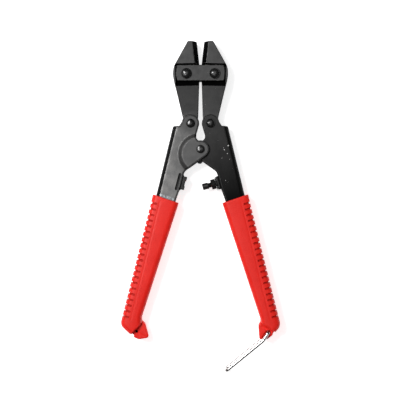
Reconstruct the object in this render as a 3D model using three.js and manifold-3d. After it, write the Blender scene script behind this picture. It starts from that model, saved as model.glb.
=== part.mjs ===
// Compact bolt cutters, 8 inch class, lying on their back with the handles fully open.
// Millimetres. X runs across the tool, +Y along it towards the jaws, +Z up from the surface it lies on.
// Inside the tool group the origin is the centre pivot, at mid thickness. The pieces of the left half are
// drawn first, with x negative, and the right half mirrors them.
import * as THREE from "three";
import { mergeVertices } from "three/addons/utils/BufferGeometryUtils.js";
import Module from "manifold-3d";

const wasm = await Module();
wasm.setup();

// ---- driving dimensions ----
const HALF_THICKNESS = 9; // grips and rivet heads reach this far from the middle plane
const RUNNING_GAP = 0.3; // between faces that slide past each other

// Linkage. The straps join two jaws; each jaw's tail is riveted to a handle; the handles cross at the centre.
const JAW_OPENING = THREE.MathUtils.degToRad(6.5); // each jaw, from cutting edges met to fully open
const STRAP_PIVOT = new THREE.Vector2(-9.9, 52.7);
const TAIL_PIVOT = new THREE.Vector2(-7.03, 18.1); // jaw to handle, at full opening
const CENTRE = new THREE.Vector2(0, 0);

// Jaws
const JAW_HALF = 6.3; // half thickness of the head
const TAIL_HALF = 3.5; // half thickness of the tail, between the handle walls
const EDGE_X = 9.8; // cutting edge, from the jaw's own pivot, just short of the tool's axis
const EDGE_FLAT = 0.35; // half width of the land on the cutting edge
const EDGE_BEVEL = 2.7; // width of the ground bevel on each side
const RECESS_TOP = 7.1; // strap recess, above the pivot
const RECESS_BOTTOM = -8.7;
const RECESS_FLOOR = 3.1;
const RECESS_TILT = THREE.MathUtils.degToRad(-5.1); // square to the straps near full opening
const TAPER_END = -26; // where the tail reaches its thin half

// Straps
const STRAP_HALF_LENGTH = 17.1;
const STRAP_TOP = 6.0;
const STRAP_BOTTOM = -5.2;
const STRAP_INNER = RECESS_FLOOR + RUNNING_GAP;
const STRAP_OUTER = STRAP_INNER + 3;

// Rivets: shank radius, head radius
const STRAP_RIVET = { shank: 2.5, head: 3.7 };
const JAW_RIVET = { shank: 2.0, head: 3.1 };
const CENTRE_RIVET = { shank: 2.0, head: 2.9 };
const HOLE_GAP = 0.1; // radial, around a rivet
const OPEN_PIVOT_GAP = 0.4; // radial, where the linkage is closed by the centre rivet

// Handles: pressed channels with the web on the outside
const SHEET = 1.8;
const WALL_INNER = TAIL_HALF + RUNNING_GAP;
const WALL_OUTER = WALL_INNER + SHEET;
const EAR_INNER = WALL_OUTER + RUNNING_GAP; // the left handle's ears are set out over the right's
const EAR_OUTER = EAR_INNER + SHEET;
const EAR_RADIUS = 6.1;
const SET_OUT_CENTRE = new THREE.Vector2(-0.9, -3.6);
const SET_OUT_RADIUS = 15;
const SET_OUT_BAND = 2.2;
const CHANNEL_TOP = 16.3;
const CHANNEL_END = -108;
const CHANNEL_LEAN = Math.tan(THREE.MathUtils.degToRad(13.7)); // of the outer edge, from the tool's axis
const channelOuter = (y) => [-19.1 - CHANNEL_LEAN * (CHANNEL_TOP - y), y];
const CHANNEL_INNER = [[-14.6, -27.9], [-17.2, -35.4], [-19.2, -43.1], [-40.3, CHANNEL_END]];

// Handle stop: a pad on the left handle, an adjusting screw on the right
const STOP_POINT = new THREE.Vector2(-13.37, -23.2); // on the inner edge of the channel
const STOP_ANGLE = THREE.MathUtils.degToRad(-15); // direction that faces the other handle
const BRACKET_HALF_LENGTH = 4.7;
const BRACKET_SHEET = 1.5;
const BRACKET_SEAT = 0.3; // from the walls' edges to the bracket's plate
const CLAMPED_GAP = 0.15; // between the washer, the nut and the bracket
const FLANGE_DEPTH = 6;
const PAD_THICKNESS = 2.2;
const WASHER = { radius: 4.4, thickness: 0.8 };
const NUT = { acrossFlats: 7, thickness: 3.2 };
const SCREW = { radius: 1.9, head: 2.3, headLength: 4.3, tip: 12.4, inside: 6 };

// Grips: moulded sleeves with a thin toe
const GRIP_HALF = HALF_THICKNESS;
const GRIP_ROUND = 3;
const TOE_HALF = 4.9;
const RIB_COUNT = 21;
const RIB_PITCH = 4.05;
const RIB_FIRST = -1.25; // from the grip's outer top corner, towards its end
const RIB_DEPTH = 1.4;
const RIB_GROOVE = { width: 2.4, reach: 4 };
const SLEEVE_GAP = 0.3;

// Latch: a bent wire bail on the right grip's toe
const WIRE = 1.2; // radius
const LATCH_HOLE = new THREE.Vector2(-47.4, -127.2);
const LATCH_KNEE = new THREE.Vector2(-43.4, -133.5);
const LATCH_END = new THREE.Vector2(-18.1, -154.1);
const LATCH_HALF_WIDTH = TOE_HALF + RUNNING_GAP + WIRE;
const LATCH_STUB = 3; // how far each end runs into the toe's hole

// Where the centre pivot stands over the origin, so that the origin is the bottom centre of the whole tool.
const CENTRE_STANDS_AT = new THREE.Vector3(0, 40.17, HALF_THICKNESS);

// ---- looks ----
const paint = (color, roughness, metalness) => () =>
  new THREE.MeshStandardMaterial({ color, roughness, metalness });
const blackSteel = paint(0x3d3c3b, 0.5, 0.5);
const blackRivet = paint(0x1c1b1a, 0.35, 0.6);
const blackHardware = paint(0x222120, 0.45, 0.6);
const redGrip = paint(0xe2302a, 0.42, 0.0);
const chrome = paint(0xd8dadc, 0.15, 1.0);

// ---- geometry and solids ----
const radians = THREE.MathUtils.degToRad;

/** Makes a closed geometry into a solid that can be joined and cut. */
function solid(geometry) {
  const bare = geometry.index ? geometry.toNonIndexed() : geometry.clone();
  bare.deleteAttribute("normal");
  bare.deleteAttribute("uv");
  const merged = mergeVertices(bare, 1e-4);
  return new wasm.Manifold(
    new wasm.Mesh({
      numProp: 3,
      vertProperties: merged.attributes.position.array,
      triVerts: new Uint32Array(merged.index.array),
    }),
  );
}

function geometryOf(body) {
  const { vertProperties, triVerts } = body.getMesh();
  const geometry = new THREE.BufferGeometry();
  geometry.setAttribute("position", new THREE.BufferAttribute(vertProperties, 3));
  geometry.setIndex(new THREE.BufferAttribute(triVerts, 1));
  geometry.computeVertexNormals();
  return geometry;
}

/** Reflects a solid in X or in Z, with its faces still pointing out. */
function reflected(body, axis) {
  const geometry = geometryOf(body).scale(axis === "x" ? -1 : 1, 1, axis === "z" ? -1 : 1);
  const index = geometry.index.array;
  for (let i = 0; i < index.length; i += 3) {
    [index[i], index[i + 1]] = [index[i + 1], index[i]];
  }
  return solid(geometry);
}

const join = (bodies) => bodies.reduce((whole, body) => whole.add(body));
const cut = (body, tools) => tools.reduce((rest, tool) => rest.subtract(tool), body);
const bothFaces = (body) => [body, reflected(body, "z")];

function polygon(points) {
  return new THREE.Shape(points.map(([x, y]) => new THREE.Vector2(x, y)));
}

// Where a shape's own x, its y and its run go: a plate lies in XY, a bar runs along X, a rail along -Y.
const AXES = {
  plate: [[1, 0, 0], [0, 1, 0], [0, 0, 1]],
  bar: [[0, 1, 0], [0, 0, 1], [1, 0, 0]],
  rail: [[1, 0, 0], [0, 0, 1], [0, -1, 0]],
};

function prism(shape, low, high, axes = AXES.plate) {
  const run = new THREE.ExtrudeGeometry(shape, {
    depth: high - low,
    bevelEnabled: false,
    curveSegments: 10,
  });
  const basis = axes.map((axis) => new THREE.Vector3(...axis));
  run.translate(0, 0, low);
  run.applyMatrix4(new THREE.Matrix4().makeBasis(...basis));
  return solid(run);
}

function cylinder(centre, radius, low, high, segments = 20) {
  const round = new THREE.CylinderGeometry(radius, radius, high - low, segments);
  round.rotateX(Math.PI / 2);
  round.translate(centre.x, centre.y, (low + high) / 2);
  return solid(round);
}

/** A hole right through the tool. */
const hole = (centre, radius) => cylinder(centre, radius, -20, 20);

function piece(name, body, look) {
  const mesh = new THREE.Mesh(body.isBufferGeometry ? body : geometryOf(body), look());
  mesh.name = name;
  return mesh;
}

// ---- rivets and spacer ----
/** A round-headed rivet along Z: its heads start at `seat` and reach `top` on both sides. */
function rivet({ shank, head }, seat, top) {
  const steps = 4;
  const rim = 0.25 * (top - seat);
  const dome = top - seat - rim;
  const lower = [];
  for (let i = 0; i <= steps; i += 1) {
    const turn = (i / steps) * (Math.PI / 2);
    lower.push(new THREE.Vector2(head * Math.sin(turn), -seat - rim - dome * Math.cos(turn)));
  }
  lower.push(new THREE.Vector2(head, -seat));
  lower.push(new THREE.Vector2(shank, -seat));
  const upper = lower.map(({ x, y }) => new THREE.Vector2(x, -y)).reverse();
  return new THREE.LatheGeometry([...lower, ...upper], 20).rotateX(-Math.PI / 2);
}

/** A plain ring along Z. */
function ring(inner, outer, low, high) {
  return cylinder(CENTRE, outer, low, high).subtract(hole(CENTRE, inner));
}

/** The spacer between the right handle's walls, with a nose that shows below the handles' crossing. */
function centreSpacer() {
  const half = WALL_INNER - RUNNING_GAP;
  const radius = 4.2;
  const nose = { x: -0.5, halfWidth: 2.1, reach: -8.0 };
  const outline = new THREE.Shape();
  outline.moveTo(nose.x + nose.halfWidth, -1);
  outline.lineTo(nose.x - nose.halfWidth, -1);
  outline.absarc(nose.x, nose.reach, nose.halfWidth, Math.PI, 2 * Math.PI);
  const body = cylinder(CENTRE, radius, -half, half).add(prism(outline, -half, half));
  return body.subtract(hole(CENTRE, CENTRE_RIVET.shank + HOLE_GAP));
}

// ---- jaws ----
/** The left jaw, pivot at the origin, with its cutting edge along +Y as it lies when the jaws are closed. */
function jaw() {
  const tail = TAIL_PIVOT.clone().sub(STRAP_PIVOT).rotateAround(CENTRE, -JAW_OPENING);
  const outline = new THREE.Shape();
  outline.moveTo(EDGE_X, 6.5);
  outline.lineTo(EDGE_X, 21.7);
  outline.lineTo(3.6, 22.4);
  outline.lineTo(-7.1, 7.5);
  outline.quadraticCurveTo(-9.3, 4.4, -9.35, -1.2);
  outline.quadraticCurveTo(-9.3, -4.6, -8.4, -10);
  outline.lineTo(tail.x - 5.0, tail.y + 5.5);
  outline.absarc(tail.x, tail.y, 4.9, radians(187), radians(350));
  outline.lineTo(5.0, -30.1);
  outline.lineTo(7.75, -10.7);
  outline.lineTo(EDGE_X - 0.15, 0.5);
  outline.closePath();

  const recess = polygon([
    [RECESS_BOTTOM, RECESS_FLOOR],
    [RECESS_TOP, RECESS_FLOOR],
    [RECESS_TOP, 10],
    [RECESS_BOTTOM, 10],
  ]);
  const taper = polygon([
    [RECESS_BOTTOM, JAW_HALF],
    [TAPER_END, TAIL_HALF],
    [tail.y - 10, TAIL_HALF],
    [tail.y - 10, 10],
    [RECESS_BOTTOM, 10],
  ]);
  const bevel = polygon([
    [EDGE_X + 0.1, EDGE_FLAT],
    [EDGE_X - EDGE_BEVEL, JAW_HALF],
    [EDGE_X - EDGE_BEVEL, 10],
    [EDGE_X + 0.1, 10],
  ]);
  const tilted = geometryOf(prism(recess, -20, 20, AXES.bar)).rotateZ(RECESS_TILT);
  const cuts = [
    solid(tilted),
    prism(taper, -20, 20, AXES.bar),
    prism(bevel, -25, -6.5, AXES.rail),
  ];
  return cut(prism(outline, -JAW_HALF, JAW_HALF), [
    ...cuts.flatMap(bothFaces),
    hole(CENTRE, STRAP_RIVET.shank + HOLE_GAP),
    hole(tail, JAW_RIVET.shank + HOLE_GAP),
  ]);
}

// ---- straps ----
function strap() {
  const bulge = 0.5;
  const corner = 1.2;
  const end = STRAP_HALF_LENGTH - bulge;
  const middle = (STRAP_TOP + STRAP_BOTTOM) / 2;
  const outline = new THREE.Shape();
  outline.moveTo(-end + corner, STRAP_BOTTOM);
  outline.lineTo(end - corner, STRAP_BOTTOM);
  outline.quadraticCurveTo(end, STRAP_BOTTOM, end, STRAP_BOTTOM + corner);
  outline.quadraticCurveTo(end + 2 * bulge, middle, end, STRAP_TOP - corner);
  outline.quadraticCurveTo(end, STRAP_TOP, end - corner, STRAP_TOP);
  outline.lineTo(-end + corner, STRAP_TOP);
  outline.quadraticCurveTo(-end, STRAP_TOP, -end, STRAP_TOP - corner);
  outline.quadraticCurveTo(-end - 2 * bulge, middle, -end, STRAP_BOTTOM + corner);
  outline.quadraticCurveTo(-end, STRAP_BOTTOM, -end + corner, STRAP_BOTTOM);
  const holes = [STRAP_PIVOT.x, -STRAP_PIVOT.x].map((x) =>
    hole(new THREE.Vector2(x, 0), STRAP_RIVET.shank + HOLE_GAP),
  );
  return cut(prism(outline, STRAP_INNER, STRAP_OUTER), holes);
}

// ---- handles ----
/** The outline of a handle's wall at rest: jaw ear, centre ear, then the channel's inner and outer edge. */
function wallOutline() {
  const outline = new THREE.Shape();
  outline.moveTo(...channelOuter(CHANNEL_TOP));
  outline.lineTo(-14.9, CHANNEL_TOP);
  outline.lineTo(-13.05, 19.0);
  outline.absarc(TAIL_PIVOT.x, TAIL_PIVOT.y, EAR_RADIUS, radians(171), radians(-4), true);
  outline.lineTo(-2.2, 13.0);
  outline.quadraticCurveTo(-4.4, 7.6, -1.27, 5.97);
  outline.absarc(CENTRE.x, CENTRE.y, EAR_RADIUS, radians(102), radians(-54), true);
  outline.lineTo(-10.0, -14.7);
  outline.quadraticCurveTo(-11.2, -15.6, -11.7, -17.2);
  CHANNEL_INNER.forEach(([x, y]) => outline.lineTo(x, y));
  outline.lineTo(...channelOuter(CHANNEL_END));
  outline.closePath();
  return outline;
}

/** The channel's web, one sheet thick, along its outer edge. */
function web() {
  const across = SHEET * Math.hypot(1, CHANNEL_LEAN);
  const outside = [channelOuter(CHANNEL_TOP), channelOuter(CHANNEL_END)];
  const inside = outside.map(([x, y]) => [x + across, y]).reverse();
  return prism(polygon([...outside, ...inside]), -WALL_OUTER, WALL_OUTER);
}

/** A round-ended slot in the wall, beside the stop bracket. */
function bracketSlot() {
  const [halfLength, halfWidth, inset] = [5.2, 1.0, 2.3];
  const slot = new THREE.Shape();
  slot.absarc(0, halfLength, halfWidth, 0, Math.PI);
  slot.absarc(0, -halfLength, halfWidth, Math.PI, 2 * Math.PI);
  const geometry = geometryOf(prism(slot, WALL_INNER - 0.2, WALL_OUTER + 0.2));
  geometry.translate(-inset, 0, 0).rotateZ(STOP_ANGLE);
  return solid(geometry.translate(STOP_POINT.x, STOP_POINT.y, 0));
}

/** The left handle: its ears over the centre are set out by one sheet, to lie over the right handle's. */
function leftHandle() {
  const wall = prism(wallOutline(), WALL_INNER, WALL_OUTER);
  const raised = prism(wallOutline(), EAR_INNER, EAR_OUTER);
  const whole = prism(wallOutline(), WALL_INNER, EAR_OUTER);
  const outer = hole(SET_OUT_CENTRE, SET_OUT_RADIUS);
  const inner = hole(SET_OUT_CENTRE, SET_OUT_RADIUS - SET_OUT_BAND);
  const front = join([
    wall.subtract(inner),
    raised.intersect(outer),
    whole.intersect(outer).subtract(inner),
  ]);
  const slotted = front.subtract(bracketSlot());
  return cut(join([...bothFaces(slotted), web()]), [
    hole(TAIL_PIVOT, JAW_RIVET.shank + HOLE_GAP),
    hole(CENTRE, CENTRE_RIVET.shank + HOLE_GAP),
  ]);
}

/** The right handle, drawn as the left: flat walls that pass under the other handle's ears. */
function rightHandle() {
  const wall = prism(wallOutline(), WALL_INNER, WALL_OUTER);
  return cut(join([...bothFaces(wall), web()]), [
    hole(TAIL_PIVOT, JAW_RIVET.shank + HOLE_GAP),
    hole(CENTRE, CENTRE_RIVET.shank + OPEN_PIVOT_GAP),
  ]);
}

// ---- handle stop, drawn along +X from the channel's inner edge ----
/** A folded bracket: a plate across the channel's open side, and a flange inside each wall. */
function stopBracket(thickness) {
  const face = polygon([
    [-BRACKET_HALF_LENGTH, -WALL_OUTER],
    [BRACKET_HALF_LENGTH, -WALL_OUTER],
    [BRACKET_HALF_LENGTH, WALL_OUTER],
    [-BRACKET_HALF_LENGTH, WALL_OUTER],
  ]);
  const flangeOuter = WALL_INNER - 0.3;
  const flange = polygon([
    [-BRACKET_HALF_LENGTH, flangeOuter - BRACKET_SHEET],
    [BRACKET_HALF_LENGTH, flangeOuter - BRACKET_SHEET],
    [BRACKET_HALF_LENGTH, flangeOuter],
    [-BRACKET_HALF_LENGTH, flangeOuter],
  ]);
  return join([
    prism(face, BRACKET_SEAT, BRACKET_SEAT + thickness, AXES.bar),
    ...bothFaces(prism(flange, -FLANGE_DEPTH, BRACKET_SEAT + 0.5, AXES.bar)),
  ]);
}

/** Turns a solid drawn along Z to lie along +X. */
const alongX = (body) => solid(geometryOf(body).rotateY(Math.PI / 2));

function adjustingScrew() {
  const neck = SCREW.tip - SCREW.headLength;
  const profile = [
    [0, -SCREW.inside],
    [SCREW.radius - 0.4, -SCREW.inside],
    [SCREW.radius, -SCREW.inside + 0.4],
    [SCREW.radius, neck],
    [SCREW.head, neck],
    [SCREW.head, SCREW.tip - 0.4],
    [SCREW.head - 0.5, SCREW.tip],
    [0, SCREW.tip],
  ];
  const points = profile.map(([x, y]) => new THREE.Vector2(x, y));
  return new THREE.LatheGeometry(points, 20).rotateZ(-Math.PI / 2);
}

function washer(start) {
  return alongX(ring(SCREW.radius + 0.2, WASHER.radius, start, start + WASHER.thickness));
}

function nut(start) {
  const corner = NUT.acrossFlats / Math.sqrt(3);
  const body = cylinder(CENTRE, corner, start, start + NUT.thickness, 6);
  return alongX(body.subtract(hole(CENTRE, SCREW.radius + HOLE_GAP)));
}

// ---- grips ----
const GRIP_OUTER_TOP = [-34.9, -38.4];
const LEFT_GRIP = {
  body: [
    [-33.2, -31.4],
    [-15.2, -37.5],
    [-41.0, -117.2],
    [-41.0, -121.3],
    [-48.9, -129.0],
    [-56.0, -122.4],
    GRIP_OUTER_TOP,
  ],
  toe: [
    [-43.0, -116.0],
    [-41.1, -119.4],
    [-38.6, -121.6],
    [-36.1, -130.8],
    [-37.4, -131.7],
    [-43.0, -132.6],
    [-46.6, -131.0],
    [-48.5, -129.4],
    [-51.0, -124.0],
  ],
  notch: new THREE.Vector2(-47.6, -129.9),
};
const RIGHT_GRIP = {
  body: [
    [-33.2, -31.4],
    [-15.2, -37.5],
    [-42.0, -120.6],
    [-52.2, -127.4],
    [-56.0, -122.9],
    GRIP_OUTER_TOP,
  ],
  toe: [
    [-44.0, -116.0],
    [-42.0, -120.4],
    [-40.5, -122.6],
    [-41.2, -132.6],
    [-44.0, -132.8],
    [-46.4, -132.6],
    [-50.7, -129.3],
    [-52.0, -124.0],
  ],
  notch: new THREE.Vector2(-51.6, -128.9),
};

/** One rib groove at a distance along the grip's outer edge: it wraps from the front round to the back. */
function ribGroove(distance) {
  const start = new THREE.Vector2(...GRIP_OUTER_TOP);
  const along = new THREE.Vector2(-20.8, -84).normalize();
  const at = start.addScaledVector(along, distance);
  const half = RIB_GROOVE.width / 2;
  const through = new THREE.BoxGeometry(2 * RIB_DEPTH, RIB_GROOVE.width, 3 * GRIP_HALF);
  const face = new THREE.BoxGeometry(2 * RIB_GROOVE.reach, RIB_GROOVE.width, 2);
  const faces = [1, -1].map((side) => solid(face.clone().translate(0, 0, side * (GRIP_HALF - half + 0.9))));
  const tool = geometryOf(join([solid(through), ...faces]));
  tool.rotateZ(Math.atan2(along.y, along.x) + Math.PI / 2);
  return solid(tool.translate(at.x, at.y, 0));
}

/** The room that the sleeve leaves for the handle's channel. */
function sleeveRoom() {
  const mouth = -28;
  const end = CHANNEL_END - SLEEVE_GAP;
  const inner = CHANNEL_INNER.slice(1).map(([x, y]) => [x + SLEEVE_GAP, y]);
  inner[0] = [inner[0][0] + 2, mouth - 4];
  inner.at(-1)[1] = end;
  const outer = [channelOuter(end), channelOuter(mouth)].map(([x, y]) => [x - SLEEVE_GAP, y]);
  const depth = WALL_OUTER + SLEEVE_GAP;
  return prism(polygon([...inner, ...outer]), -depth, depth);
}

function grip({ body, toe, notch }) {
  const rounded = new THREE.ExtrudeGeometry(polygon(body), {
    depth: 2 * (GRIP_HALF - GRIP_ROUND),
    bevelThickness: GRIP_ROUND,
    bevelSize: GRIP_ROUND,
    bevelOffset: -GRIP_ROUND,
    bevelSegments: 2,
  }).translate(0, 0, GRIP_ROUND - GRIP_HALF);
  const whole = join([solid(rounded), prism(polygon(toe), -TOE_HALF, TOE_HALF)]);
  const grooves = Array.from({ length: RIB_COUNT }, (_, i) => ribGroove(RIB_FIRST + i * RIB_PITCH));
  return cut(whole, [...grooves, sleeveRoom(), cylinder(notch, 1.3, -20, 20, 12)]);
}

// ---- latch ----
/** A bail of round wire: a stub in the toe's hole on each side, two bent arms, and a cross bar. */
function latchWire() {
  const bend = 1.6;
  const corners = [
    new THREE.Vector3(LATCH_HOLE.x, LATCH_HOLE.y, LATCH_HALF_WIDTH - LATCH_STUB),
    new THREE.Vector3(LATCH_HOLE.x, LATCH_HOLE.y, LATCH_HALF_WIDTH),
    new THREE.Vector3(LATCH_KNEE.x, LATCH_KNEE.y, LATCH_HALF_WIDTH),
    new THREE.Vector3(LATCH_END.x, LATCH_END.y, LATCH_HALF_WIDTH),
  ];
  const route = [...corners, ...corners.map(({ x, y, z }) => new THREE.Vector3(x, y, -z)).reverse()];
  const path = new THREE.CurvePath();
  let from = route[0];
  for (let i = 1; i < route.length - 1; i += 1) {
    const corner = route[i];
    const before = corner.clone().lerp(route[i - 1], bend / corner.distanceTo(route[i - 1]));
    const after = corner.clone().lerp(route[i + 1], bend / corner.distanceTo(route[i + 1]));
    path.add(new THREE.LineCurve3(from, before));
    path.add(new THREE.QuadraticBezierCurve3(before, corner, after));
    from = after;
  }
  path.add(new THREE.LineCurve3(from, route.at(-1)));
  const section = new THREE.Shape().absarc(0, 0, WIRE, 0, 2 * Math.PI);
  return new THREE.ExtrudeGeometry(section, { steps: 90, curveSegments: 5, extrudePath: path });
}

// ---- assembly ----
const tool = new THREE.Group();

/** A group at a point of the left half, or at its mirror image. */
function place(side, point, turn, ...meshes) {
  const group = new THREE.Group();
  group.position.set(side * point.x, point.y, 0);
  group.rotation.z = side * turn;
  group.add(...meshes);
  tool.add(group);
}

const leftJaw = jaw();
place(1, STRAP_PIVOT, JAW_OPENING, piece("left_jaw", leftJaw, blackSteel));
place(-1, STRAP_PIVOT, JAW_OPENING, piece("right_jaw", reflected(leftJaw, "x"), blackSteel));

const frontStrap = strap();
const strapMiddle = new THREE.Vector2(0, STRAP_PIVOT.y);
place(
  1,
  strapMiddle,
  0,
  piece("front_strap", frontStrap, blackSteel),
  piece("back_strap", reflected(frontStrap, "z"), blackSteel),
);

const strapRivet = rivet(STRAP_RIVET, STRAP_OUTER + RUNNING_GAP, HALF_THICKNESS);
const jawRivet = rivet(JAW_RIVET, WALL_OUTER + RUNNING_GAP, EAR_OUTER);
const centreRivet = rivet(CENTRE_RIVET, EAR_OUTER + 0.2, HALF_THICKNESS);
for (const [side, hand] of [[1, "left"], [-1, "right"]]) {
  place(side, STRAP_PIVOT, 0, piece(`${hand}_strap_rivet`, strapRivet.clone(), blackRivet));
  place(side, TAIL_PIVOT, 0, piece(`${hand}_jaw_rivet`, jawRivet.clone(), blackRivet));
}
place(
  1,
  CENTRE,
  0,
  piece("center_rivet", centreRivet, blackRivet),
  piece("center_spacer", centreSpacer(), blackHardware),
);

place(
  1,
  CENTRE,
  0,
  piece("left_handle", leftHandle(), blackSteel),
  piece("right_handle", reflected(rightHandle(), "x"), blackSteel),
);

const padBracket = stopBracket(PAD_THICKNESS);
const screwBracket = stopBracket(BRACKET_SHEET).subtract(alongX(hole(CENTRE, SCREW.radius + 0.2)));
const washerStart = BRACKET_SEAT + BRACKET_SHEET + CLAMPED_GAP;
const nutStart = washerStart + WASHER.thickness + CLAMPED_GAP;
place(1, STOP_POINT, STOP_ANGLE, piece("left_stop_bracket", padBracket, blackHardware));
place(
  -1,
  STOP_POINT,
  STOP_ANGLE,
  piece("screw_bracket", reflected(screwBracket, "x"), blackHardware),
  piece("adjusting_washer", reflected(washer(washerStart), "x"), blackHardware),
  piece("lock_nut", reflected(nut(nutStart), "x"), blackHardware),
  piece("adjusting_screw", reflected(solid(adjustingScrew()), "x"), blackHardware),
);

const latchHole = cylinder(LATCH_HOLE, WIRE + 0.15, -20, 20, 12);
place(
  1,
  CENTRE,
  0,
  piece("left_grip", grip(LEFT_GRIP), redGrip),
  piece("right_grip", reflected(grip(RIGHT_GRIP).subtract(latchHole), "x"), redGrip),
  piece("latch_wire", reflected(solid(latchWire()), "x"), chrome),
);

tool.position.copy(CENTRE_STANDS_AT);
const boltCutters = new THREE.Group();
boltCutters.add(tool);

export default boltCutters;
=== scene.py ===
"""Looks of a pair of compact bolt cutters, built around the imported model.

Pieces are drawn in millimetres in the tool's frame: the origin is the centre rivet, +Y points to the jaws and
+Z up. Pieces with a side are drawn on the left and mirrored for the right, but rivets are only moved across.
The right jaw is the left one's image; the right handle and the right grip have shapes of their own. show()
scales a finished piece to metres, moves it into the row frame, and names the CAD node that it stands for and
the body that it rides on.
"""

import math
import random

import bmesh
import bpy
import numpy as np
from mathutils import Matrix, Vector
from mathutils.geometry import delaunay_2d_cdt


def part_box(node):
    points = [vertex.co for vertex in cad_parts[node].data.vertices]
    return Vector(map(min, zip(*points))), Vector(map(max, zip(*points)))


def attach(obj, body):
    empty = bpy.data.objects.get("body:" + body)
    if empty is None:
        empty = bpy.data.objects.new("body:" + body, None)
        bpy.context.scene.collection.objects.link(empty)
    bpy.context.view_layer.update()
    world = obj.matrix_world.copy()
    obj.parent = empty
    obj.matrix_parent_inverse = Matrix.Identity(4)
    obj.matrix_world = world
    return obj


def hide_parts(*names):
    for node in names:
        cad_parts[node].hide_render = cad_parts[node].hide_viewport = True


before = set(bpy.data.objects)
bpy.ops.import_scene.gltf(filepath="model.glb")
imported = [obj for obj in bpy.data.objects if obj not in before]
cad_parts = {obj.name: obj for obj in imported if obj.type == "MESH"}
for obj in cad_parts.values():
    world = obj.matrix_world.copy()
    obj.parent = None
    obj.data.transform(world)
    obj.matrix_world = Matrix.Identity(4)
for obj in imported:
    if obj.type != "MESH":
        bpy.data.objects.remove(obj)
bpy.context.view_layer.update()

# ---- the frame, in millimetres from the centre rivet ----
MM = 0.001
random.seed(7)


def middle_of(node):
    low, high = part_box(node)
    return (low + high) / 2


TOOL = middle_of("center_rivet")


def pivot(node):
    place = (middle_of(node) - TOOL) / MM
    return Vector((place.x, place.y))


STRAP_PIVOT = pivot("left_strap_rivet")
TAIL_PIVOT = pivot("left_jaw_rivet")
CENTRE = Vector((0, 0))
RIVET_TOP = (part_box("center_rivet")[1].z - TOOL.z) / MM
JAW_RIVET_TOP = (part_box("left_jaw_rivet")[1].z - TOOL.z) / MM
RUNNING_GAP = 0.3

# ---- jaws and straps ----
JAW_OPENING = math.radians(6.5)
JAW_HALF = 6.3
TAIL_HALF = 3.5
EDGE_X = 9.8
EDGE_FLAT = 0.3
EDGE_BEVEL = 2.9
BEVEL_START = 6.5
BEVEL_SLOPE = (0.2, 0.6)  # between these lies the z of the bevel's normal
RECESS = {"bottom": -8.7, "top": 7.1, "floor": 3.1, "end": -7.75, "corner": 1.0, "tilt": math.radians(-5.1)}
TAPER_END = -26
STRAP = {"end": 16.6, "bulge": 0.5, "corner": 1.2, "top": 6.0, "bottom": -5.2, "inner": 3.4, "outer": 6.4}
STEEL_ROUND = 0.6

# ---- rivets: shank radius, head radius ----
STRAP_RIVET = (2.5, 3.7)
JAW_RIVET = (2.0, 3.1)
CENTRE_RIVET = (2.0, 2.9)
HOLE_GAP = 0.1
CENTRE_PLAY = 0.4  # in the right handle, where the linkage's loop is opened
CENTRE_SEAT_GAP = 0.2

# ---- handles: pressed channels ----
SHEET = 1.8
WALL_INNER = TAIL_HALF + RUNNING_GAP
WALL_OUTER = WALL_INNER + SHEET
SET_OUT = SHEET + RUNNING_GAP
SET_OUT_CENTRE = Vector((-0.9, -3.6))
SET_OUT_FROM, SET_OUT_TO = 15.2, 11.5
EAR_RADIUS = 6.1
BEND_RADIUS = 3.4
CHANNEL_TOP = 16.3
CHANNEL_END = -108
CHANNEL_LEAN = math.tan(math.radians(13.7))
RIM = 0.7
RIM_STEPS = 4
EDGE_LINE = 0.45
BEND_SHADE = 2.4
SLOT = {"half_length": 5.2, "half_width": 1.0, "at": -2.3}
CHANNEL_INNER = [(-14.6, -27.9), (-17.2, -35.4), (-19.2, -43.1), (-40.3, CHANNEL_END)]
STOP_POINT = Vector((-13.37, -23.2))
STOP_ANGLE = math.radians(-15)

# ---- handle stop ----
BRACKET = {"half": 4.7, "sheet": 1.5, "seat": 0.3, "depth": 6, "pad": 2.2, "ear": 2.0}
BRACKET_END, BRACKET_STEP = 2.4, 3.4  # where a raised end is level, and where its slope meets the plate
BOLT_GAP = 0.2
WASHER = {"start": 1.95, "thickness": 0.8, "radius": 4.4}
NUT = {"start": 2.9, "thickness": 3.2, "across": 7}
SCREW = {"radius": 1.9, "head": 2.3, "head_length": 4.3, "tip": 12.4, "inside": 6, "pitch": 0.7}
THREAD = {"depth": 0.36, "steepness": 2.4, "sides": 32, "steps_per_pitch": 6}

# ---- grips ----
GRIP_HALF = 9
GRIP_ROUND = 3.2
TOE_HALF = 4.9
RIBS = {"count": 21, "pitch": 4.05, "first": -1.25, "half": 0.72, "depth": 0.9, "reach": 4.2}
GRIP_OUTER_TOP = Vector((-34.9, -38.4))
GRIP_ALONG = Vector((-20.8, -84)).normalized()
MOUTH = [Vector((-33.2, -31.4)), Vector((-15.2, -37.5))]
OVERRUN = 7  # how far the sleeve is drawn past its mouth before the mouth is cut
SLEEVE_GAP = 0.3
POCKET_CORNER, POCKET_ABOVE = 0.25, 1.5
CROWN = 0.07
LINE = {"from_ribs": 1.9, "half": 0.45, "depth": 0.12, "start": -4, "end": 82, "on_face_above": 7}
RIDGE = (0.45, 0.5)  # half width and depth of the crease in a toe
GROOVE = (1.7, 1.2)
VOXEL = 0.4

# ---- latch ----
WIRE = 1.2
LATCH_ROUTE = [(-47.4, -127.2), (-43.4, -133.5), (-18.1, -154.1)]
LATCH_HALF_WIDTH = TOE_HALF + RUNNING_GAP + WIRE
LATCH_STUB = 3


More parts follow.
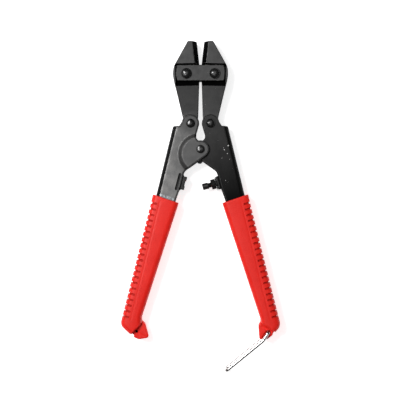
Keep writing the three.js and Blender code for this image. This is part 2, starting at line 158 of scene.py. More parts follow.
# ---- material slots of a working object: 0 for its faces, then its edges and holes, then deep places, both mostly in darker looks that paint shade ----
EDGE_FACES = 1
PAINTED_SHADE_FACES = 2
SHOULDER = 0.85  # a rounded face whose normal's z is above this keeps the look of the flat face
CORNER_FROM = math.radians(30)
FLAT_WITHIN = math.radians(0.3)
SHEET_FLAT_WITHIN = math.radians(0.2)
THROUGH = 20  # half the run of a tool that cuts right through


# ---- outlines ----
def arc(centre, radius, start, end, step=8):
    """Points on an arc, in degrees; it runs clockwise where end is below start."""
    count = max(2, math.ceil(abs(end - start) / step))
    turns = [math.radians(start + (end - start) * i / count) for i in range(count + 1)]
    return [(centre[0] + radius * math.cos(t), centre[1] + radius * math.sin(t)) for t in turns]


def curve(start, control, end, count=8):
    """Points on a quadratic curve, without its first point."""
    start, control, end = Vector(start), Vector(control), Vector(end)
    points = []
    for i in range(1, count + 1):
        t = i / count
        points.append(tuple((1 - t) ** 2 * start + 2 * t * (1 - t) * control + t * t * end))
    return points


def capsule(half_length, half_width):
    top = arc((0, half_length), half_width, 0, 180, 15)
    return top + arc((0, -half_length), half_width, 180, 360, 15)


def turned(points, angle, at=(0, 0)):
    c, s = math.cos(angle), math.sin(angle)
    return [(at[0] + c * x - s * y, at[1] + s * x + c * y) for x, y in points]


def channel_outer(y):
    """The channel's outer edge at a height along the tool."""
    return -19.1 - CHANNEL_LEAN * (CHANNEL_TOP - y)


def inside(point, loop):
    x, y = point
    odd = False
    for (ax, ay), (bx, by) in zip(loop, loop[1:] + loop[:1]):
        if (ay > y) != (by > y) and x < ax + (y - ay) * (bx - ax) / (by - ay):
            odd = not odd
    return odd


# ---- meshes ----
# Where an outline's own x, its y and its run go: a plate lies in XY, a bar runs along X, a rail along -Y.
PLATE = ((1, 0, 0), (0, 1, 0), (0, 0, 1))
BAR = ((0, 1, 0), (0, 0, 1), (1, 0, 0))
RAIL = ((1, 0, 0), (0, 0, 1), (0, -1, 0))


def draft(bm):
    """A working object with the three material slots above, still empty."""
    bmesh.ops.recalc_face_normals(bm, faces=bm.faces)
    mesh = bpy.data.meshes.new("draft")
    bm.to_mesh(mesh)
    bm.free()
    for _ in range(3):
        mesh.materials.append(None)
    obj = bpy.data.objects.new("draft", mesh)
    bpy.context.scene.collection.objects.link(obj)
    return obj


def prism(outline, low, high, axes=PLATE):
    along_x, along_y, run = (Vector(axis) for axis in axes)
    bm = bmesh.new()
    ends = [[bm.verts.new(along_x * x + along_y * y + run * z) for x, y in outline] for z in (low, high)]
    bm.faces.new(ends[0][::-1])
    bm.faces.new(ends[1])
    for i in range(len(outline)):
        bm.faces.new((ends[0][i - 1], ends[0][i], ends[1][i], ends[1][i - 1]))
    return draft(bm)


def skin(rings):
    """A body through rings of points, each ring closed, with a flat cap at each end."""
    bm = bmesh.new()
    rings = [[bm.verts.new(point) for point in ring] for ring in rings]
    for low, high in zip(rings, rings[1:]):
        for i in range(len(low)):
            bm.faces.new((low[i - 1], low[i], high[i], high[i - 1]))
    bm.faces.new(rings[0][::-1])
    bm.faces.new(rings[-1])
    return draft(bm)


def lathe(profile, segments=48):
    """A body turned round Z from points (radius, z) that start and end on the axis."""
    rings = []
    for radius, z in profile[1:-1]:
        turns = [2 * math.pi * i / segments for i in range(segments)]
        rings.append([(radius * math.cos(t), radius * math.sin(t), z) for t in turns])
    return skin(rings)


def modify(obj, kind, **settings):
    """Adds one modifier and applies it."""
    modifier = obj.modifiers.new(kind, kind)
    for name, value in settings.items():
        setattr(modifier, name, value)
    shape = obj.evaluated_get(bpy.context.evaluated_depsgraph_get())
    mesh = bpy.data.meshes.new_from_object(shape)
    obj.modifiers.clear()
    old, obj.data = obj.data, mesh
    bpy.data.meshes.remove(old)
    return obj


def combine(obj, operation, *tools, solver="EXACT"):
    for tool in tools:
        modify(obj, "BOOLEAN", operation=operation, object=tool, solver=solver)
        bpy.data.objects.remove(tool)
    return obj


def cut(obj, *tools):
    return combine(obj, "DIFFERENCE", *tools)


def moved(obj, angle=0.0, at=(0, 0), axis="Z"):
    obj.data.transform(Matrix.Translation((at[0], at[1], 0)) @ Matrix.Rotation(angle, 4, axis))
    return obj


def reflected(obj, axis):
    """A copy, reflected in X or in Z."""
    copy = bpy.data.objects.new("draft", obj.data.copy())
    bpy.context.scene.collection.objects.link(copy)
    copy.data.transform(Matrix.Diagonal((-1 if axis == "X" else 1, 1, -1 if axis == "Z" else 1, 1)))
    copy.data.flip_normals()
    return copy


def both_faces(tool):
    return [tool, reflected(tool, "Z")]


def sunk(tool, slot=PAINTED_SHADE_FACES):
    """Marks a tool, so that the faces which it cuts take another material: by default the slot of painted
    shade.
    """
    tool.data.polygons.foreach_set("material_index", [slot] * len(tool.data.polygons))
    return tool


def drill(centre, radius):
    """A tool for a round hole along Z, right through."""
    return moved(prism(arc((0, 0), radius, 0, 345, 15), -THROUGH, THROUGH), at=centre)


def tidied(obj):
    """Joins the flat faces that a cut has split."""
    bm = bmesh.new()
    bm.from_mesh(obj.data)
    bmesh.ops.remove_doubles(bm, verts=bm.verts, dist=1e-4)
    bmesh.ops.dissolve_limit(bm, angle_limit=FLAT_WITHIN, verts=bm.verts, edges=bm.edges)
    bm.to_mesh(obj.data)
    bm.free()
    return obj


def bevelled(obj, width, segments, **settings):
    """Rounds the edges that are sharper than CORNER_FROM."""
    limits = {"limit_method": "ANGLE", "angle_limit": CORNER_FROM, "use_clamp_overlap": False}
    return modify(obj, "BEVEL", width=width, segments=segments, **limits, **settings)


def rounded(obj, width=STEEL_ROUND, segments=4):
    """Rounds the edges; the new faces take the second material, mostly a darker look that paints shade,
    unless they still face up or down.
    """
    bevelled(obj, width, segments, material=EDGE_FACES)
    for face in obj.data.polygons:
        if face.material_index == EDGE_FACES and abs(face.normal.z) > SHOULDER:
            face.material_index = 0
    return obj


def show(obj, node, body, slot, looks, smooth=50, weighted=True):
    """Puts a finished piece in place: size, normals, materials, body, and the CAD node that it stands for."""
    obj.name = node + "_finished"
    obj.data.name = obj.name
    obj.data.transform(Matrix.Translation(TOOL) @ Matrix.Diagonal((MM, MM, MM, 1)))
    for index, look in enumerate(looks):
        obj.data.materials[index] = look
    while len(obj.data.materials) > len(looks):
        obj.data.materials.pop()
    if len(looks) == 1:
        obj.data.polygons.foreach_set("material_index", [0] * len(obj.data.polygons))
    obj.data.polygons.foreach_set("use_smooth", [True] * len(obj.data.polygons))
    obj.data.set_sharp_from_angle(angle=math.radians(smooth))
    if weighted:
        modify(obj, "WEIGHTED_NORMAL", keep_sharp=True, weight=80)
    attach(obj, body)
    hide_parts(node)
    return obj


# ---- materials ----
class Look:
    """A material with a small vocabulary of procedural nodes, all in the piece's own coordinates."""

    def __init__(self, name):
        self.material = bpy.data.materials.new(name)
        self.material.use_nodes = True
        self.tree = self.material.node_tree
        self.shader = self.tree.nodes["Principled BSDF"]
        self.place = self.add("ShaderNodeTexCoord").outputs["Object"]

    def add(self, kind, inputs=(), **settings):
        node = self.tree.nodes.new(kind)
        for name, value in settings.items():
            setattr(node, name, value)
        for name, value in dict(inputs).items():
            self.feed(node.inputs[name], value)
        return node

    def feed(self, socket, value):
        if isinstance(value, bpy.types.NodeSocket):
            self.tree.links.new(value, socket)
        else:
            socket.default_value = value

    def set(self, **values):
        for name, value in values.items():
            label = name.replace("_", " ").title().replace("Ior", "IOR")
            self.feed(self.shader.inputs[label], value)

    def stretched(self, stretch):
        return self.add("ShaderNodeVectorMath", {0: self.place, 1: stretch}, operation="MULTIPLY").outputs[0]

    def noise(self, size, detail=3.0, stretch=(1, 1, 1)):
        """Noise whose blotches are about `size` millimetres across."""
        inputs = {"Vector": self.stretched(stretch), "Scale": 1 / (size * MM), "Detail": detail}
        return self.add("ShaderNodeTexNoise", inputs).outputs["Fac"]

    def span(self, value, low, high, to_low=0.0, to_high=1.0):
        inputs = {0: value, 1: low, 2: high, 3: to_low, 4: to_high}
        return self.add("ShaderNodeMapRange", inputs, clamp=True).outputs[0]

    def math(self, operation, a, b=0.0):
        return self.add("ShaderNodeMath", {0: a, 1: b}, operation=operation).outputs[0]

    def mix(self, share, a, b):
        node = self.add("ShaderNodeMix", data_type="RGBA")
        self.feed(node.inputs[0], share)
        self.feed(node.inputs[6], a)
        self.feed(node.inputs[7], b)
        return node.outputs[2]

    def spots(self, size, share):
        """1 on round specks about `size` millimetres across that stand in a share of the cells."""
        cells = self.add("ShaderNodeTexVoronoi", {"Vector": self.place, "Scale": 1 / (4 * size * MM)})
        near = self.span(cells.outputs["Distance"], 0.1, 0.16, 1, 0)
        chosen = self.add("ShaderNodeSeparateColor", {0: cells.outputs["Color"]}).outputs[0]
        return self.math("MULTIPLY", near, self.math("LESS_THAN", chosen, share))

    def away(self, point):
        """Distance from a point of the tool, in millimetres."""
        where = TOOL + Vector(point) * MM
        inputs = {0: self.place, 1: where}
        gap = self.add("ShaderNodeVectorMath", inputs, operation="DISTANCE").outputs["Value"]
        return self.math("MULTIPLY", gap, 1 / MM)

    def along(self, point, direction):
        """Millimetres from a point of the tool, along a direction."""
        where = TOOL + Vector(point) * MM
        offset = self.add("ShaderNodeVectorMath", {0: self.place, 1: where}, operation="SUBTRACT")
        inputs = {0: offset.outputs[0], 1: Vector(direction).normalized()}
        reach = self.add("ShaderNodeVectorMath", inputs, operation="DOT_PRODUCT").outputs["Value"]
        return self.math("MULTIPLY", reach, 1 / MM)

    def bump(self, height, depth, under=None):
        """A bump `depth` millimetres deep, on top of another one."""
        inputs = {"Height": height, "Strength": 1.0, "Distance": depth * MM}
        if under is not None:
            inputs["Normal"] = under
        return self.add("ShaderNodeBump", inputs).outputs["Normal"]


def grey(value, warm=0.0):
    return (value * (1 + warm), value, value * (1 - warm), 1)


def black_paint(
    name, dark, light, gloss, shine=1.0, metal_share=0.0, worn=0.0, chips=(), shaded_ears=False, shaded_end=False
):
    """Black oxide and lacquer on steel: mottled, grainy, with specks of dust and bare metal.

    One flag paints shade over a handle's set-out disc and ear, leaving its lower end greyer, and adds a
    patchy light grey band above the grip's mouth; the other paints shade deepening towards its lower end.
    """
    look = Look(name)
    mottle = look.noise(5.0, 5)
    grain = look.noise(0.32, 2)
    tone = look.mix(look.span(mottle, 0.35, 0.65), grey(dark), grey(light, 0.03))
    tone = look.mix(look.span(grain, 0.3, 0.75, 0, 0.55), tone, grey(light * 1.7, 0.02))
    rough = look.span(mottle, 0.3, 0.7, gloss + 0.08, gloss - 0.05)
    # Painted shade that deepens towards the handle's lower end, with its gloss dulled there.
    if shaded_end:
        share = look.span(look.along((16, 12, 0), (0.24, -0.97, 0)), 0, 48)
        tone = look.mix(share, tone, grey(dark * 0.2))
        shine = look.span(share, 0, 1, shine, shine * 0.15)
    # Painted shade over the set-out disc and the ear; then a patchy light grey band just above the grip's
    # mouth.
    if shaded_ears:
        shaded = look.span(look.away((*SET_OUT_CENTRE, WALL_OUTER)), 10.5, 24, 0.8, 0)
        ear = look.span(look.away((*TAIL_PIVOT, WALL_OUTER)), 5, 14, 0.95, 0)
        tone = look.mix(look.math("MAXIMUM", shaded, ear), tone, grey(dark * 0.3))
        reach = look.along((-24.2, -34.45, 0), (0.32, 0.947, 0))
        band = look.math("MULTIPLY", look.span(reach, 0.3, 0.9), look.span(reach, 1.4, 2.6, 1, 0))
        patchy = look.math("MULTIPLY", band, look.span(look.noise(1.6, 3), 0.42, 0.56))
        tone = look.mix(look.math("MULTIPLY", patchy, 0.6), tone, (0.42, 0.5, 0.53, 1))
    if worn:
        patches = look.span(look.noise(1.8, 4), 0.62 - 0.25 * worn, 0.72 - 0.2 * worn)
        tone = look.mix(look.math("MULTIPLY", patches, worn), tone, grey(0.34, 0.04))
    metal = look.spots(0.16, 0.012)
    for x, y, radius in chips:
        chip = look.span(look.away((x, y, WALL_OUTER)), radius * 0.7, radius, 1, 0)
        metal = look.math("MAXIMUM", metal, chip)
    tone = look.mix(metal, tone, grey(0.6, 0.02))
    surface = look.bump(grain, 0.02, look.bump(look.noise(1.4, 3), 0.04))
    look.set(base_color=tone, roughness=rough, normal=surface, metallic=metal_share, specular_ior_level=shine)
    return look.material


def red_plastic(name, depth=1.0):
    """Moulded soft plastic, a little cloudy and finely pebbled; a low depth paints shade: a darker, duller
    red.
    """
    look = Look(name)
    cloud = look.noise(14.0, 3)
    fine = look.noise(0.9, 3)
    tone = look.mix(look.span(cloud, 0.3, 0.7), (0.84, 0.014, 0.008, 1), (0.92, 0.022, 0.014, 1))
    tone = look.mix(look.span(fine, 0.35, 0.8, 0, 0.35), tone, (0.98, 0.05, 0.035, 1))
    tone = look.mix(look.spots(0.13, 0.01), tone, (0.25, 0.01, 0.01, 1))
    tone = look.mix(depth, (0.05, 0.002, 0.001, 1), tone)
    rough = look.span(look.noise(3.0, 4), 0.3, 0.7, 0.36, 0.48)
    pebbles = look.bump(look.noise(0.45, 2), 0.018, look.bump(look.noise(2.6, 2), 0.06))
    look.set(base_color=tone, roughness=rough, normal=pebbles, specular_ior_level=0.22 * depth**2)
    look.set(subsurface_weight=0.06, subsurface_radius=(0.004, 0.0012, 0.0008), subsurface_scale=0.3)
    return look.material


def bright_wire(name):
    """Nickel-plated wire with drawn scratches along it."""
    look = Look(name)
    scratches = look.noise(0.25, 3, (1, 0.35, 1))
    tone = look.mix(look.span(scratches, 0.3, 0.7), grey(0.36, 0.02), grey(0.5, 0.01))
    rough = look.span(scratches, 0.35, 0.7, 0.1, 0.16)
    look.set(base_color=tone, metallic=1.0, roughness=rough, normal=look.bump(scratches, 0.006))
    return look.material


CHIPS = [(19.3, 2.5, 0.55), (16.6, -0.4, 0.4), (18.7, -3.1, 0.35), (16.0, 0.9, 0.22), (20.2, -7.0, 0.2)]
CHIPS += [(17.4, -21.8, 0.25), (14.9, -6.2, 0.2), (13.1, -24.3, 0.22)]
head_steel = black_paint("head_steel", 0.006, 0.015, gloss=0.46, shine=0.52)
# The edge black is darker and duller than the faces' black: painted shade on rounded edges and side walls,
# with patches of real wear.
head_edge_wear_and_shade = black_paint("head_edge_wear_and_shade", 0.003, 0.006, gloss=0.45, worn=0.3, shine=0.3)
# The near-black of the recess under the strap and of the cutting bevels is painted shade.
head_recess_painted_shade = black_paint("head_recess_painted_shade", 0.0005, 0.001, gloss=0.8, shine=0.02)
# The left handle's lighter, half-metallic black is a lit copy of the right handle's: a painted sheen.
left_lit_paint = black_paint("left_handle_lit_paint", 0.085, 0.12, gloss=0.46, shaded_ears=True, metal_share=0.5)
# The right handle's black is the shaded copy, with painted shade deepening towards its lower end; its chips
# are real wear.
right_shaded_paint = black_paint("right_shaded_paint", 0.004, 0.009, gloss=0.46, shine=0.3, chips=CHIPS, shaded_end=True)
# The handles' edge black is darker and duller than their faces: painted shade on the rims and inner faces,
# with a little real wear.
handle_edge_wear_and_shade = black_paint("handle_edge_wear_and_shade", 0.002, 0.005, gloss=0.4, worn=0.15, shine=0.3)
# The blackest look, on the outer part of each handle's bend and on its web, is painted shade.
bend_painted_shade = black_paint("bend_painted_shade", 0.001, 0.003, gloss=0.55, shine=0.12)
rivet_black = black_paint("rivet_black", 0.003, 0.006, gloss=0.24, shine=0.7)
hardware_black = black_paint("hardware_black", 0.003, 0.006, gloss=0.45, shine=0.3)
grip_red = red_plastic("grip_red")
# The pockets' darker, duller red is painted shade.
grip_pocket_painted_shade = red_plastic("grip_pocket_painted_shade", 0.6)
# The black in the toes' pin holes is painted shade.
grip_hole_painted_shade = black_paint("grip_hole_painted_shade", 0.001, 0.002, gloss=0.8, shine=0.05)
wire_chrome = bright_wire("wire_chrome")


# ---- jaws ----
def jaw():
    """The left jaw as it lies at rest."""
    tail = Vector(turned([TAIL_PIVOT - STRAP_PIVOT], -JAW_OPENING)[0])
    outline = [(EDGE_X, BEVEL_START), (EDGE_X, 21.7), (3.6, 22.4), (-7.1, 7.5)]
    outline += curve((-7.1, 7.5), (-9.3, 4.4), (-9.35, -1.2), 6)
    outline += curve((-9.35, -1.2), (-9.3, -4.6), (-8.4, -10), 5)
    outline += [(tail.x - 5.0, tail.y + 5.5)] + arc(tail, 4.9, 187, 350, 10)
    outline += [(5.0, -30.1), (7.75, -10.7), (EDGE_X - 0.15, 0.5)]
    bottom, top, end, corner = RECESS["bottom"], RECESS["top"], RECESS["end"], RECESS["corner"]
    pocket = [(20, bottom), (20, top)] + arc((end + corner, top - corner), corner, 90, 180, 15)
    pocket += arc((end + corner, bottom + corner), corner, 180, 270, 15)
    # The recess's faces take the near-black slot: painted shade under the strap.
    recess = sunk(prism(pocket, RECESS["floor"], THROUGH))
    taper = [(bottom, JAW_HALF), (TAPER_END, TAIL_HALF), (tail.y - 10, TAIL_HALF)]
    taper += [(tail.y - 10, 10), (bottom, 10)]
    bevel = [(EDGE_X + 0.1, EDGE_FLAT), (EDGE_X - EDGE_BEVEL, JAW_HALF)]
    bevel += [(EDGE_X - EDGE_BEVEL, 10), (EDGE_X + 0.1, 10)]
    body = prism(outline, -JAW_HALF, JAW_HALF)
    cut(body, *both_faces(prism(taper, -THROUGH, THROUGH, BAR)))
    cut(body, *both_faces(prism(bevel, -25, -BEVEL_START, RAIL)))
    rounded(tidied(body))
    # Faces on the cutting bevel take the near-black slot: painted shade.
    for face in body.data.polygons:
        on_bevel = face.center.x > EDGE_X - EDGE_BEVEL and face.center.y > BEVEL_START
        if on_bevel and BEVEL_SLOPE[0] < abs(face.normal.z) < BEVEL_SLOPE[1]:
            face.material_index = PAINTED_SHADE_FACES
    cut(body, *both_faces(moved(recess, RECESS["tilt"])))
    cut(body, drill(CENTRE, STRAP_RIVET[0] + HOLE_GAP), drill(tail, JAW_RIVET[0] + HOLE_GAP))
    return moved(body, JAW_OPENING, STRAP_PIVOT)


left_jaw = jaw()
show(reflected(left_jaw, "X"), "right_jaw", "right_jaw", "black_steel", [head_steel, head_edge_wear_and_shade, head_recess_painted_shade])
show(left_jaw, "left_jaw", "left_jaw", "black_steel", [head_steel, head_edge_wear_and_shade, head_recess_painted_shade])


# ---- straps ----
def strap():
    end, bulge, corner = STRAP["end"], STRAP["bulge"], STRAP["corner"]
    top, bottom = STRAP["top"], STRAP["bottom"]
    middle = (top + bottom) / 2
    right = [(end - corner, bottom)]
    right += curve((end - corner, bottom), (end, bottom), (end, bottom + corner), 4)
    right += curve((end, bottom + corner), (end + 2 * bulge, middle), (end, top - corner), 6)
    right += curve((end, top - corner), (end, top), (end - corner, top), 4)
    outline = right + [(-x, y) for x, y in reversed(right)]
    body = rounded(prism(outline, STRAP["inner"], STRAP["outer"]))
    cut(body, *(drill((x, 0), STRAP_RIVET[0] + HOLE_GAP) for x in (STRAP_PIVOT.x, -STRAP_PIVOT.x)))
    return moved(body, at=(0, STRAP_PIVOT.y))


front_strap = strap()
show(reflected(front_strap, "Z"), "back_strap", "straps", "black_steel", [head_steel, head_edge_wear_and_shade])
show(front_strap, "front_strap", "straps", "black_steel", [head_steel, head_edge_wear_and_shade])


# ---- rivets and spacer ----
def rivet(radii, seat, top):
    """A round-headed rivet along Z, hammered a little out of true."""
    shank, head = radii
    rim = 0.22 * (top - seat)
    dome = top - seat - rim
    turns = [math.radians(90 * i / 10) for i in range(11)]
    upper = [(shank, seat), (head - 0.15, seat), (head, seat + 0.15)]
    upper += [(head * math.cos(t), seat + rim + dome * math.sin(t)) for t in turns]
    lower = [(radius, -z) for radius, z in reversed(upper)]
    body = lathe(lower + upper)
    lean = random.uniform(0, math.tau)
    for vertex in body.data.vertices:
        if abs(vertex.co.z) > seat + rim:
            around = math.atan2(vertex.co.y, vertex.co.x)
            vertex.co.z *= 1 - 0.012 * math.cos(3 * around + lean) * vertex.co.xy.length / head
    return body


def heads(radii, seat, top, *places):
    for node, body, at in places:
        show(moved(rivet(radii, seat, top), at=at), node, body, "black_rivets", [rivet_black])


def across(point):
    return Vector((-point.x, point.y))


heads(
    STRAP_RIVET,
    STRAP["outer"] + RUNNING_GAP,
    RIVET_TOP,
    ("left_strap_rivet", "straps", STRAP_PIVOT),
    ("right_strap_rivet", "straps", across(STRAP_PIVOT)),
)
heads(
    JAW_RIVET,
    WALL_OUTER + RUNNING_GAP,
    JAW_RIVET_TOP,
    ("left_jaw_rivet", "left_jaw", TAIL_PIVOT),
    ("right_jaw_rivet", "right_jaw", across(TAIL_PIVOT)),
)
centre_seat = WALL_OUTER + SET_OUT + CENTRE_SEAT_GAP
heads(CENTRE_RIVET, centre_seat, RIVET_TOP, ("center_rivet", "left_handle", CENTRE))


def spacer():
    half = TAIL_HALF
    nose = [(1.6, -1), (-2.6, -1)] + arc((-0.5, -8.0), 2.1, 180, 360, 15)
    body = prism(arc(CENTRE, 4.2, 0, 350, 10), -half, half)
    combine(body, "UNION", prism(nose, -half, half))
    cut(body, drill(CENTRE, CENTRE_RIVET[0] + HOLE_GAP))
    return rounded(tidied(body), 0.3)


show(spacer(), "center_spacer", "left_handle", "black_hardware", [hardware_black, hardware_black])


# ---- handles ----
def wall_outline():
    """The front wall's outline; its first and last points stand on the outer edge, where the sheet bends."""
    outline = [(channel_outer(CHANNEL_TOP), CHANNEL_TOP), (-14.9, CHANNEL_TOP), (-13.05, 19.0)]
    outline += arc(TAIL_PIVOT, EAR_RADIUS, 171, -4) + [(-2.2, 13.0)]
    outline += curve((-2.2, 13.0), (-4.4, 7.6), (-1.27, 5.97))
    outline += arc(CENTRE, EAR_RADIUS, 102, -54)[1:] + [(-10.0, -14.7)]
    outline += curve((-10.0, -14.7), (-11.2, -15.6), (-11.7, -17.2), 4) + CHANNEL_INNER
    return outline + [(channel_outer(CHANNEL_END), CHANNEL_END)]


def inset(loop, distance):
    """A clockwise loop drawn in by a distance, but for its closing side, which only gets shorter."""
    points = [Vector(point) for point in loop]
    sides = [(b - a).normalized() for a, b in zip(points, points[1:] + points[:1])]
    moved_points = []
    for i, point in enumerate(points):
        before, after = sides[i - 1], sides[i]
        shift_before = 0 if i == 0 else distance
        shift_after = 0 if i == len(points) - 1 else distance
        inward = Vector((after.y, -after.x))
        turn = before.cross(after)
        if abs(turn) < 1e-3:
            moved_points.append(point + inward * distance)
        else:
            moved_points.append(point + (before * shift_after - after * shift_before) / turn)
    return [tuple(point) for point in moved_points]


def edge_distance(x, y):
    """How far a point lies inside the channel's outer edge, square to it."""
    return (x - channel_outer(y)) / math.hypot(1, CHANNEL_LEAN)


def wall_height(x, y, set_out):
    """The outer face of the front wall: flat, rounded down at the bend, and set out round the centre."""
    short = max(0.0, BEND_RADIUS - edge_distance(x, y))
    height = WALL_OUTER - BEND_RADIUS + math.sqrt(max(0.0, BEND_RADIUS**2 - short**2))
    if set_out:
        reach = (Vector((x, y)) - SET_OUT_CENTRE).length
        t = min(1, max(0, (SET_OUT_FROM - reach) / (SET_OUT_FROM - SET_OUT_TO)))
        height += SET_OUT * t * t * (3 - 2 * t)
    return height


def sheet_metal(bm, thickness, rim):
    """Thickens an open surface inwards; its border rolls over outwards, with a round rim on both faces."""
    bm.normal_update()
    border = [edge for edge in bm.edges if edge.is_boundary]
    away = {}
    for edge in border:
        loop = edge.link_loops[0]
        along = (loop.link_loop_next.vert.co - loop.vert.co).normalized()
        for vertex in edge.verts:
            away.setdefault(vertex, []).append(along.cross(loop.face.normal).normalized())
    turns = [math.radians(90 * (i + 1) / RIM_STEPS) for i in range(RIM_STEPS)]
    profile = [(rim * math.sin(t), rim * (1 - math.cos(t))) for t in turns]
    profile += [(out, thickness - down) for out, down in reversed(profile)]
    inner = {vertex: bm.verts.new(vertex.co - vertex.normal * thickness) for vertex in list(bm.verts)}
    rings = {}
    for vertex, ways in away.items():
        out = sum(ways, Vector()).normalized()
        out /= max(0.5, out.dot(ways[0]))
        ring = [bm.verts.new(vertex.co + out * reach - vertex.normal * down) for reach, down in profile]
        rings[vertex] = [vertex, *ring, inner[vertex]]
    # The inner faces and the rim, past its first row, take the darker edge slot: painted shade.
    for face in list(bm.faces):
        bm.faces.new([inner[vertex] for vertex in reversed(face.verts)]).material_index = EDGE_FACES
    for edge in border:
        loop = edge.link_loops[0]
        a, b = rings[loop.vert], rings[loop.link_loop_next.vert]
        for i in range(len(a) - 1):
            face = bm.faces.new((b[i], a[i], a[i + 1], b[i + 1]))
            face.material_index = EDGE_FACES if i > 0 else 0
    return bm


def handle(set_out):
    """A pressed channel: two walls and the web between them, from one sheet."""
    whole = wall_outline()
    outline = inset(whole, RIM)
    bare = inset(whole, RIM + EDGE_LINE)
    holes = [arc(TAIL_PIVOT, JAW_RIVET[0] + HOLE_GAP + RIM, 0, 345, 15)]
    holes += [arc(CENTRE, CENTRE_RIVET[0] + (HOLE_GAP if set_out else CENTRE_PLAY) + RIM, 0, 345, 15)]
    creases = []
    for step in range(6):
        from_edge = BEND_RADIUS * (1 - math.sin(math.radians(15 * step))) * math.hypot(1, CHANNEL_LEAN)
        creases.append([(channel_outer(y) + from_edge, y) for y in (CHANNEL_TOP, CHANNEL_END)])
    if set_out:
        rings = [SET_OUT_FROM + 0.01 + (SET_OUT_TO - SET_OUT_FROM - 0.02) * i / 10 for i in range(11)]
        creases += [arc(SET_OUT_CENTRE, radius, 60, 290, 4) for radius in rings]
    points, edges = [], []
    for line, closed in [(loop, True) for loop in (outline, bare, *holes)] + [(c, False) for c in creases]:
        first, count = len(points), len(line)
        points += [Vector(point) for point in line]
        edges += [(first + i, first + (i + 1) % count) for i in range(count if closed else count - 1)]
    corners, _, faces, *_ = delaunay_2d_cdt(points, edges, [], 0, 1e-4, False)
    bm = bmesh.new()
    walls = [
        [bm.verts.new((x, y, side * wall_height(x, y, set_out))) for x, y in corners]
        for side in (1, -1)
    ]
    for face in faces:
        centre = sum((corners[i] for i in face), Vector((0, 0))) / len(face)
        if inside(centre, outline) and not any(inside(centre, hole) for hole in holes):
            for wall in walls:
                # A thin band along the rim takes the darker edge slot, and the outer part of the bend the
                # blackest: painted shade.
                look = 0 if inside(centre, bare) else EDGE_FACES
                if edge_distance(*centre) < BEND_SHADE:
                    look = PAINTED_SHADE_FACES
                bm.faces.new([wall[i] for i in face]).material_index = look
    on_edge = [i for i, (x, y) in enumerate(corners) if abs(edge_distance(x, y)) < 0.01]
    on_edge = sorted((i for i in on_edge if walls[0][i].link_faces), key=lambda i: corners[i].y)
    # The web takes the blackest slot as well: painted shade.
    for a, b in zip(on_edge, on_edge[1:]):
        bm.faces.new((walls[0][a], walls[0][b], walls[1][b], walls[1][a])).material_index = PAINTED_SHADE_FACES
    bmesh.ops.delete(bm, geom=[v for v in bm.verts if not v.link_faces], context="VERTS")
    bmesh.ops.recalc_face_normals(bm, faces=bm.faces)
    if max(bm.faces, key=lambda face: face.calc_center_median().z).normal.z < 0:
        bmesh.ops.reverse_faces(bm, faces=bm.faces)
    bmesh.ops.dissolve_limit(
        bm, angle_limit=SHEET_FLAT_WITHIN, verts=bm.verts, edges=bm.edges, delimit={"MATERIAL"}
    )
    channel = draft(sheet_metal(bm, SHEET, RIM))
    if set_out:
        slot = turned(capsule(SLOT["half_length"], SLOT["half_width"]), 0, (SLOT["at"], 0))
        # The slot's walls take the darker edge slot: painted shade.
        cut(channel, *both_faces(sunk(prism(turned(slot, STOP_ANGLE, STOP_POINT), 0, THROUGH), EDGE_FACES)))
    return channel


show(handle(True), "left_handle", "left_handle", "black_handles", [left_lit_paint, handle_edge_wear_and_shade, bend_painted_shade])
right_handle = handle(False)
HANDLE_LOOKS = [right_shaded_paint, handle_edge_wear_and_shade, bend_painted_shade]
show(reflected(right_handle, "X"), "right_handle", "right_handle", "black_handles", HANDLE_LOOKS)
bpy.data.objects.remove(right_handle)


# ---- handle stop: pieces are drawn along +X from the channel's inner edge ----
def at_stop(obj, side):
    """Moves a piece to the stop of the left handle, or by reflection to the right one."""
    moved(obj, STOP_ANGLE, STOP_POINT)
    if side == "left":
        return obj
    copy = reflected(obj, "X")
    bpy.data.objects.remove(obj)
    return copy


def bracket(thickness, raised_ends):
    """A folded bracket: a plate across the channel's open side, and a flange inside each wall."""
    half, sheet, seat = BRACKET["half"], BRACKET["sheet"], BRACKET["seat"]
    side = WALL_INNER - RUNNING_GAP
    top = seat + thickness
    raised = top + raised_ends
    plate = [(seat, -half), (raised, -half), (raised, -half + BRACKET_END), (top, -half + BRACKET_STEP)]
    plate += [(top, half - BRACKET_STEP), (raised, half - BRACKET_END), (raised, half), (seat, half)]
    body = rounded(prism(plate, -WALL_OUTER, WALL_OUTER), 0.4, 3)
    reach = half + BRACKET["ear"] if raised_ends else half
    flange = [(-BRACKET["depth"], -reach), (-0.4, -reach), (seat + 0.5, -half)]
    flange += [(seat + 0.5, half), (-0.4, reach), (-BRACKET["depth"], reach)]
    return combine(body, "UNION", *both_faces(prism(flange, side - sheet, side)))


